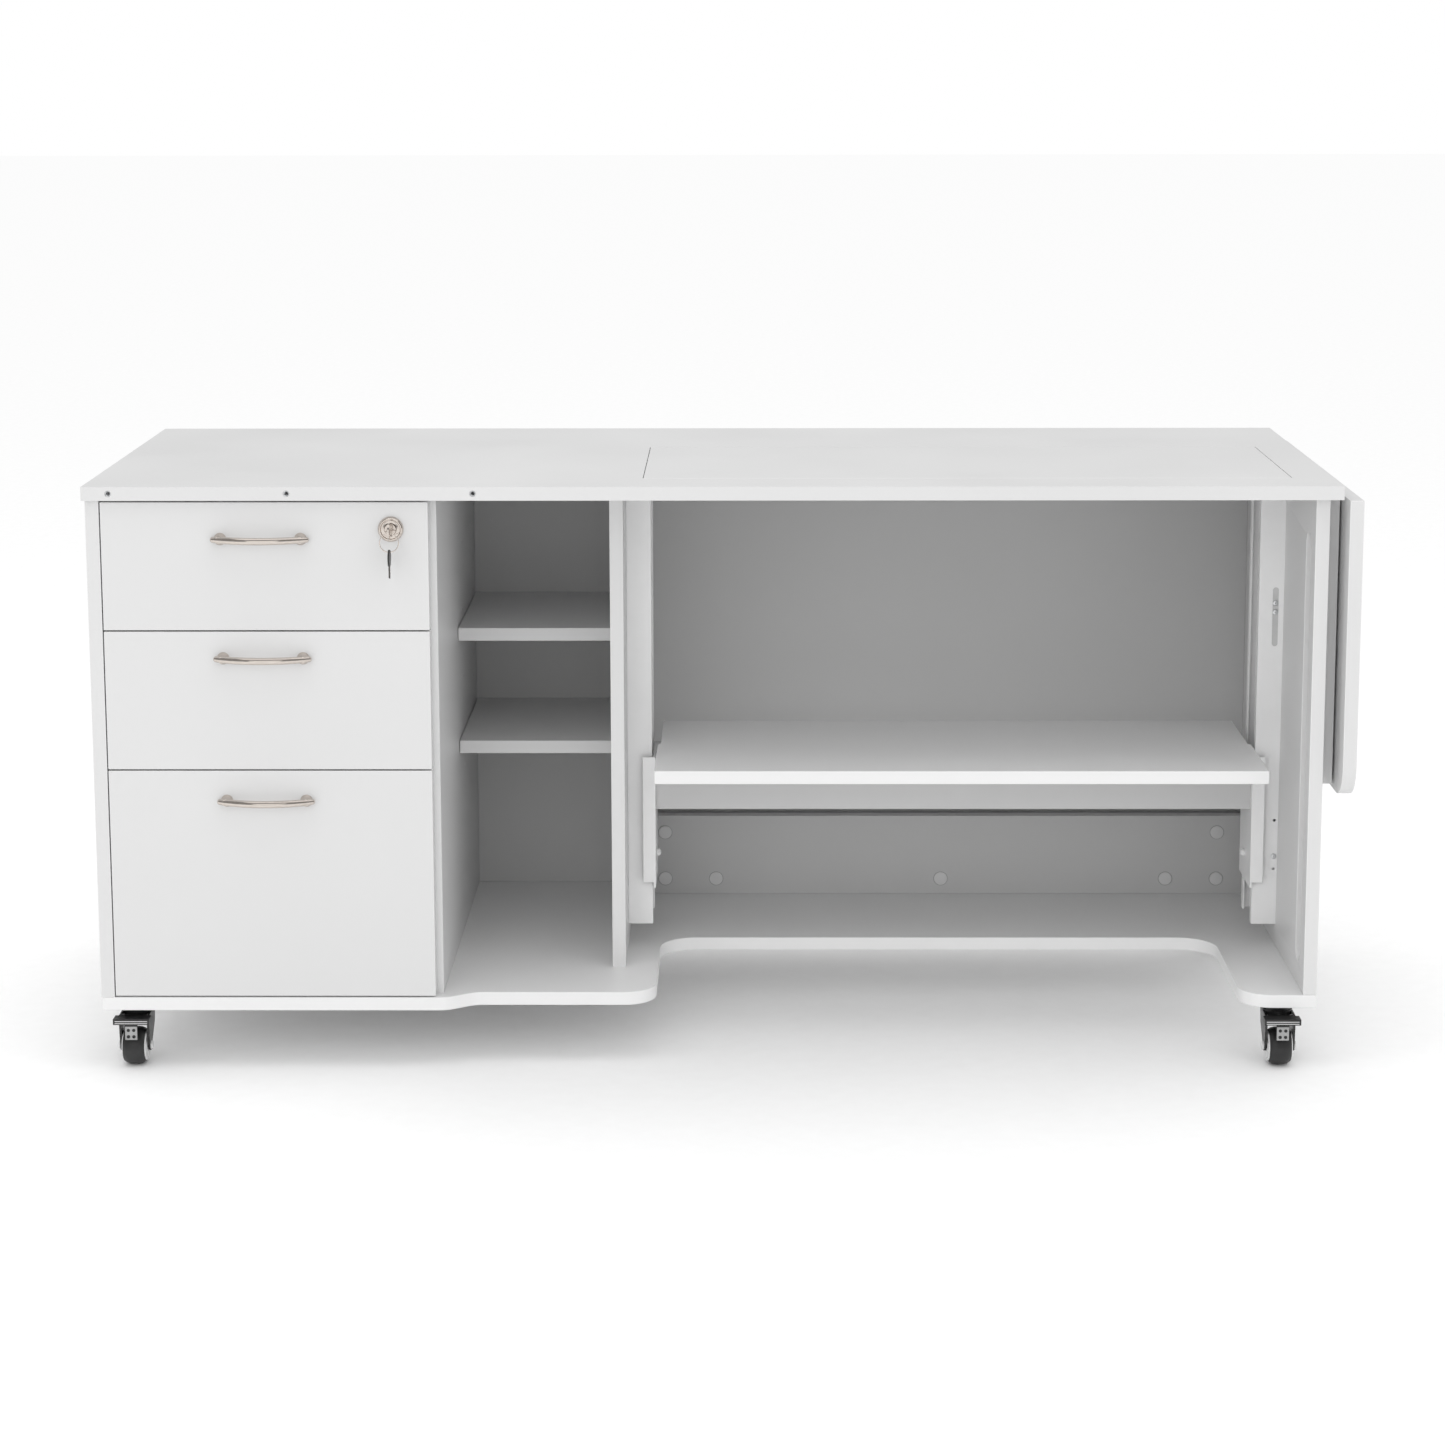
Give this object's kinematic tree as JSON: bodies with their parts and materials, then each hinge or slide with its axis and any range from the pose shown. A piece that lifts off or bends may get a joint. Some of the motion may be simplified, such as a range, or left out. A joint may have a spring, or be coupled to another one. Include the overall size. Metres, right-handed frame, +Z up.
{
  "type": "sewing table",
  "caption": "White sewing cabinet on casters with drawers, an open cubby, a machine lift under a flush lid and a drop leaf.",
  "frame": {"origin": "centre of the whole table's outline at floor level, leaf hanging and drawers shut", "axes": "+X towards the end with the drop leaf, +Y towards the back (drawers open towards -Y), +Z up"},
  "size_m": [1.651, 0.625, 0.782],
  "materials": {
    "white_board": "satin white laminate",
    "back_board": "satin light grey laminate",
    "white_metal": "satin",
    "nickel": "brushed",
    "zinc": "satin",
    "white_plastic": "matte",
    "black_metal": "satin",
    "black_plastic": "matte"
  },
  "bodies": {
    "cabinet": {"worktop": "white_board", "base_board": "white_board", "left_side_panel": "white_board", "pedestal_divider": "white_board", "cubby_divider": "white_board", "right_side_panel": "white_board", "left_back_panel": "back_board", "kneehole_back_panel": "back_board", "lower_back_rail": "back_board", "cover_caps": "white_plastic", "upper_shelf": "white_board", "lower_shelf": "white_board", "shelf_pins": "zinc", "edge_inserts": "zinc", "lift_rail_left": "white_metal", "lift_rail_right": "white_metal", "rail_screws": "zinc", "cabinet_runners": "zinc", "caster_plates": "black_metal", "leaf_support": "white_board", "support_hinges": "zinc", "leaf_hinge_plates": "zinc"},
    "lid": {"lift_lid": "white_board"},
    "lift": {"lift_platform": "white_board", "lift_crossbar": "back_board", "lift_carriages": "white_metal", "glide_blocks": "white_plastic", "carriage_bolts": "white_metal"},
    "drawer_1": {"drawer_1_front": "white_board", "drawer_1_box": "white_board", "drawer_1_handle": "nickel", "drawer_1_runners": "zinc", "lock_housing": "nickel"},
    "drawer_2": {"drawer_2_front": "white_board", "drawer_2_box": "white_board", "drawer_2_handle": "nickel", "drawer_2_runners": "zinc"},
    "drawer_3": {"drawer_3_front": "white_board", "drawer_3_box": "white_board", "drawer_3_handle": "nickel", "drawer_3_runners": "zinc"},
    "lock_cylinder": {"lock_plug": "nickel", "lock_cam": "nickel", "key": "nickel"},
    "ring_and_key": {"key_ring": "nickel", "spare_key": "black_metal"},
    "leaf": {"side_leaf": "white_board", "leaf_hinge_flaps": "zinc"},
    "caster_1_fork": {"caster_1_fork": "black_metal"},
    "caster_1_wheel": {"caster_1_wheel": "black_plastic"},
    "caster_1_pedal": {"caster_1_pedal": "black_plastic"},
    "caster_2_fork": {"caster_2_fork": "black_metal"},
    "caster_2_wheel": {"caster_2_wheel": "black_plastic"},
    "caster_2_pedal": {"caster_2_pedal": "black_plastic"},
    "caster_3_fork": {"caster_3_fork": "black_metal"},
    "caster_3_wheel": {"caster_3_wheel": "black_plastic"},
    "caster_3_pedal": {"caster_3_pedal": "black_plastic"},
    "caster_4_fork": {"caster_4_fork": "black_metal"},
    "caster_4_wheel": {"caster_4_wheel": "black_plastic"},
    "caster_4_pedal": {"caster_4_pedal": "black_plastic"}
  },
  "joints": [
    {"name": "drawer_1_slide", "type": "slide", "parent": "cabinet", "child": "drawer_1", "axis": [0, -1, 0], "range_m": [0, 0.38]},
    {"name": "drawer_2_slide", "type": "slide", "parent": "cabinet", "child": "drawer_2", "axis": [0, -1, 0], "range_m": [0, 0.38]},
    {"name": "drawer_3_slide", "type": "slide", "parent": "cabinet", "child": "drawer_3", "axis": [0, -1, 0], "range_m": [0, 0.38]},
    {"name": "lift_raise", "type": "slide", "parent": "cabinet", "child": "lift", "axis": [0, 0, 1], "range_m": [0, 0.393]},
    {"name": "lid_rise", "type": "slide", "parent": "cabinet", "child": "lid", "axis": [0, 0, 1], "range_m": [0, 0.01966]},
    {"name": "leaf_fold", "type": "hinge", "parent": "cabinet", "child": "leaf", "pos_m": [0.8041, 0.0125, 0.7606], "axis": [0, -1, 0], "range_deg": [0, 90]},
    {"name": "lock_turn", "type": "hinge", "parent": "drawer_1", "child": "lock_cylinder", "pos_m": [-0.4275, -0.2795, 0.726], "axis": [0, 1, 0], "range_deg": [0, 90]},
    {"name": "key_ring_swing", "type": "hinge", "parent": "lock_cylinder", "child": "ring_and_key", "pos_m": [-0.4275, -0.3015, 0.71825], "axis": [0, 1, 0], "range_deg": [-90, 0]},
    {"name": "caster_1_swivel", "type": "hinge", "parent": "cabinet", "child": "caster_1_fork", "pos_m": [-0.7835, -0.2325, 0.07], "axis": [0, 0, 1], "continuous": true},
    {"name": "caster_1_roll", "type": "hinge", "parent": "caster_1_fork", "child": "caster_1_wheel", "pos_m": [-0.7835, -0.2525, 0.025], "axis": [1, 0, 0], "continuous": true},
    {"name": "caster_1_brake", "type": "hinge", "parent": "caster_1_fork", "child": "caster_1_pedal", "pos_m": [-0.7835, -0.2595, 0.064], "axis": [1, 0, 0], "range_deg": [0, 12]},
    {"name": "caster_2_swivel", "type": "hinge", "parent": "cabinet", "child": "caster_2_fork", "pos_m": [0.7395, -0.2325, 0.07], "axis": [0, 0, 1], "continuous": true},
    {"name": "caster_2_roll", "type": "hinge", "parent": "caster_2_fork", "child": "caster_2_wheel", "pos_m": [0.7395, -0.2525, 0.025], "axis": [1, 0, 0], "continuous": true},
    {"name": "caster_2_brake", "type": "hinge", "parent": "caster_2_fork", "child": "caster_2_pedal", "pos_m": [0.7395, -0.2595, 0.064], "axis": [1, 0, 0], "range_deg": [0, 12]},
    {"name": "caster_3_swivel", "type": "hinge", "parent": "cabinet", "child": "caster_3_fork", "pos_m": [-0.7835, 0.2575, 0.07], "axis": [0, 0, 1], "continuous": true},
    {"name": "caster_3_roll", "type": "hinge", "parent": "caster_3_fork", "child": "caster_3_wheel", "pos_m": [-0.7835, 0.2775, 0.025], "axis": [-1, 0, 0], "continuous": true},
    {"name": "caster_3_brake", "type": "hinge", "parent": "caster_3_fork", "child": "caster_3_pedal", "pos_m": [-0.7835, 0.2845, 0.064], "axis": [-1, 0, 0], "range_deg": [0, 12]},
    {"name": "caster_4_swivel", "type": "hinge", "parent": "cabinet", "child": "caster_4_fork", "pos_m": [0.7395, 0.2575, 0.07], "axis": [0, 0, 1], "continuous": true},
    {"name": "caster_4_roll", "type": "hinge", "parent": "caster_4_fork", "child": "caster_4_wheel", "pos_m": [0.7395, 0.2775, 0.025], "axis": [-1, 0, 0], "continuous": true},
    {"name": "caster_4_brake", "type": "hinge", "parent": "caster_4_fork", "child": "caster_4_pedal", "pos_m": [0.7395, 0.2845, 0.064], "axis": [-1, 0, 0], "range_deg": [0, 12]}
  ],
  "couplings": [
    {"joint": "lid_rise", "follows": "lift_raise", "ratio": 0.05},
    {"joint": "key_ring_swing", "follows": "lock_turn", "ratio": -1}
  ]
}
